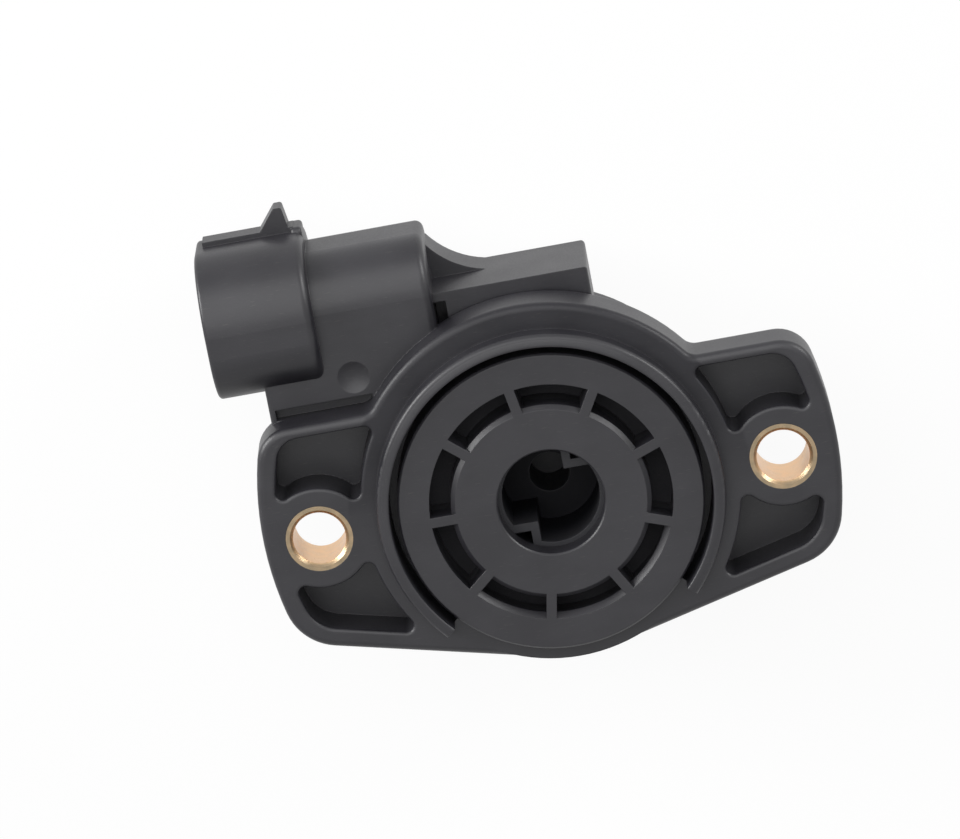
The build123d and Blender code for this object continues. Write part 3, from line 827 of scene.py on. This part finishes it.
@dataclass(frozen=True)
class RearCover(Assembly):
    """Welded rear cover."""

    plastic: MouldedPlastic = MouldedPlastic("cover_plastic", roughness=0.5)
    seam_r: float = 15.4
    seam_z: float = -19.2
    bead_w: float = 0.24
    bead_h: float = 0.13
    bead_sides: int = 10
    bead_steps: int = 160
    swells: tuple[Pair, ...] = ((700.0, 0.3), (2600.0, 0.2))  # rate per metre, share

    def dress(self) -> None:
        """Paints the cover and lays the weld bead round it."""
        self.paint(self.plastic, "rear_cover")
        self.weld_bead()

    def weld_bead(self) -> None:
        """Thin uneven bead of plastic squeezed out along the weld."""
        mesh = bmesh.new()
        shape = (
            Matrix.Translation(Vector((self.seam_r, 0.0, self.seam_z)) * MM)
            @ Matrix.Rotation(math.radians(QUARTER), 4, "X")
            @ Matrix.Diagonal((self.bead_w * MM, self.bead_h * MM, 1.0, 1.0))
        )
        bmesh.ops.create_circle(mesh, cap_ends=False, segments=self.bead_sides, radius=1.0)
        bmesh.ops.transform(mesh, matrix=shape, verts=mesh.verts)
        bmesh.ops.spin(
            mesh,
            geom=mesh.verts[:] + mesh.edges[:],
            cent=(0.0, 0.0, self.seam_z * MM),
            axis=(0.0, 0.0, 1.0),
            angle=math.tau,
            steps=self.bead_steps,
            use_merge=True,
        )
        for vert in mesh.verts:
            swell = sum(noise.noise(vert.co * rate) * share for rate, share in self.swells)
            core = Vector((vert.co.x, vert.co.y, 0.0)).normalized() * self.seam_r * MM
            core.z = self.seam_z * MM
            vert.co = core + (vert.co - core) * (1.0 + swell)
        seam = self.piece("cover_weld_bead", mesh, self.plastic, "cover_plastic")
        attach(seam, Body.SENSOR.value)


@dataclass(frozen=True)
class Softbox:
    """One soft lamp. Its place and size are in metres."""

    name: str
    place: Triple
    size: float
    level: float

    def build(self, aim: Vector) -> None:
        """Hangs the lamp so that a face turned to it gets the level, where 1 shows colours as written.

        Args:
            aim: The point that the lamp is turned to.
        """
        lamp = bpy.data.lights.new(self.name, "AREA")
        lamp.shape = "DISK"
        lamp.size = self.size
        spot = Vector(self.place)
        lamp.energy = self.level * math.pi**2 * (spot - aim).length_squared
        made = bpy.data.objects.new(self.name, lamp)
        made.location = spot
        made.rotation_euler = (aim - spot).to_track_quat("-Z", "Y").to_euler()
        bpy.context.scene.collection.objects.link(made)
        log.info("%s: %.2f W", self.name, lamp.energy)


@dataclass(frozen=True)
class Studio:
    """White table, white surround and soft lamps from the connector's side, in metres."""

    floor_r: float = 2.5
    floor_sides: int = 96
    floor_grey: Rgb = (0.8, 0.8, 0.8)
    table_gap: float = 0.00002
    aim: Triple = (0.0, 0.005, -0.008)
    floor_glow: float = 0.93
    ambient: float = 0.16
    lamps: tuple[Softbox, ...] = (
        Softbox("overhead_box", (-0.14, 0.46, 0.76), 1.15, 0.72),
        Softbox("left_box", (-0.74, 0.48, 0.22), 0.50, 1.00),
        Softbox("right_box", (0.74, 0.48, 0.22), 0.40, 0.50),
    )

    def build(self) -> None:
        """Builds the table, the surround and the lamps."""
        self.floor()
        self.surround()
        for lamp in self.lamps:
            lamp.build(Vector(self.aim))
        bpy.context.scene.view_settings.view_transform = "Standard"

    def seen(self, s: Shader) -> Sock:
        """Mask of the rays that show the table or the surround itself.

        Args:
            s: The tree of either.

        Returns:
            1 for rays from the camera, in gloss or through clear stuff, 0 for the rest.
        """
        camera, gloss, through = (
            s.add("ShaderNodeLightPath", None, None, ray)
            for ray in ("Is Camera Ray", "Is Glossy Ray", "Is Transmission Ray")
        )
        either = camera.math("MAXIMUM", camera, gloss)
        return either.math("MAXIMUM", either, through)

    def floor(self) -> None:
        """Round white table under the rear cover. It keeps a faint shadow."""
        mesh = bmesh.new()
        bmesh.ops.create_circle(mesh, cap_ends=True, segments=self.floor_sides, radius=self.floor_r)
        bmesh.ops.translate(mesh, verts=mesh.verts, vec=(0.0, 0.0, CAD_BOX[0].z - self.table_gap))
        data = bpy.data.meshes.new("table")
        mesh.to_mesh(data)
        mesh.free()
        paint = bpy.data.materials.new("table_white")
        paint.use_nodes = True
        s = Shader(paint.node_tree)
        shadow = s.add("ShaderNodeBsdfDiffuse", None, {"Color": (1.0 - self.floor_glow,) * 3})
        glow = s.add("ShaderNodeEmission", None, {"Color": (1.0, 1.0, 1.0), "Strength": self.floor_glow})
        shown = s.add("ShaderNodeAddShader", None, {0: shadow, 1: glow})
        matt = s.add("ShaderNodeBsdfDiffuse", None, {"Color": self.floor_grey})
        both = s.add("ShaderNodeMixShader", None, {0: self.seen(s), 1: matt, 2: shown})
        s.add("ShaderNodeOutputMaterial", None, {"Surface": both})
        data.materials.append(paint)
        table = bpy.data.objects.new("table", data)
        bpy.context.scene.collection.objects.link(table)

    def surround(self) -> None:
        """White world, dimmer as a light than it looks."""
        world = bpy.data.worlds.new("surround")
        world.use_nodes = True
        bpy.context.scene.world = world
        s = Shader(world.node_tree)
        strength = self.ambient + self.seen(s) * (1.0 - self.ambient)
        glow = s.add("ShaderNodeBackground", None, {"Color": (1.0, 1.0, 1.0), "Strength": strength})
        s.add("ShaderNodeOutputWorld", None, {"Surface": glow})


@dataclass(frozen=True)
class PhotoCamera:
    """Camera at the photograph's viewing angle and framing, in pixels, degrees and millimetres."""

    width: float = 960.0
    height: float = 839.0
    tilt: float = 16.5
    side: float = 2.0
    roll: float = 10.1
    distance: float = 560.0
    origin_x: float = 551.0
    origin_y: float = 497.6
    px_per_mm: float = 471.4 / 46.0
    sensor: float = 36.0
    nearest: float = 20.0

    def build(self) -> None:
        """Sets the camera up. The part's origin shows at its place in the photograph."""
        tilt, side, roll = (math.radians(a) for a in (self.tilt, self.side, self.roll))
        back = Vector((math.sin(side), math.sin(tilt) * math.cos(side), math.cos(tilt) * math.cos(side)))
        back.normalize()
        level = (Vector((1.0, 0.0, 0.0)) - back * back.x).normalized()
        upright = back.cross(level)
        right = math.cos(roll) * level - math.sin(roll) * upright
        up = math.sin(roll) * level + math.cos(roll) * upright
        focal = self.px_per_mm * self.distance
        across = (self.width / 2.0 - self.origin_x) / focal
        above = (self.origin_y - self.height / 2.0) / focal
        behind = (back - right * across - up * above).normalized()
        right = (right - behind * right.dot(behind)).normalized()
        axes = Matrix((right, behind.cross(right), behind)).transposed().to_4x4()
        data = bpy.data.cameras.new("camera")
        data.sensor_width = self.sensor
        data.lens = focal * self.sensor / self.width
        data.clip_start = self.nearest * MM
        made = bpy.data.objects.new("camera", data)
        made.matrix_world = Matrix.Translation(back * self.distance * MM) @ axes
        bpy.context.scene.collection.objects.link(made)
        bpy.context.scene.camera = made


def main() -> None:
    """Dresses each assembly, then builds the studio and the camera."""
    logging.basicConfig(level=logging.INFO, format="%(name)s %(message)s")
    for assembly in (Housing(), ScrewSleeves(), DriveRotor(), SensingElement(), Terminals(), RearCover()):
        assembly.dress()
    Studio().build()
    PhotoCamera().build()


if __name__ == "__main__":
    main()
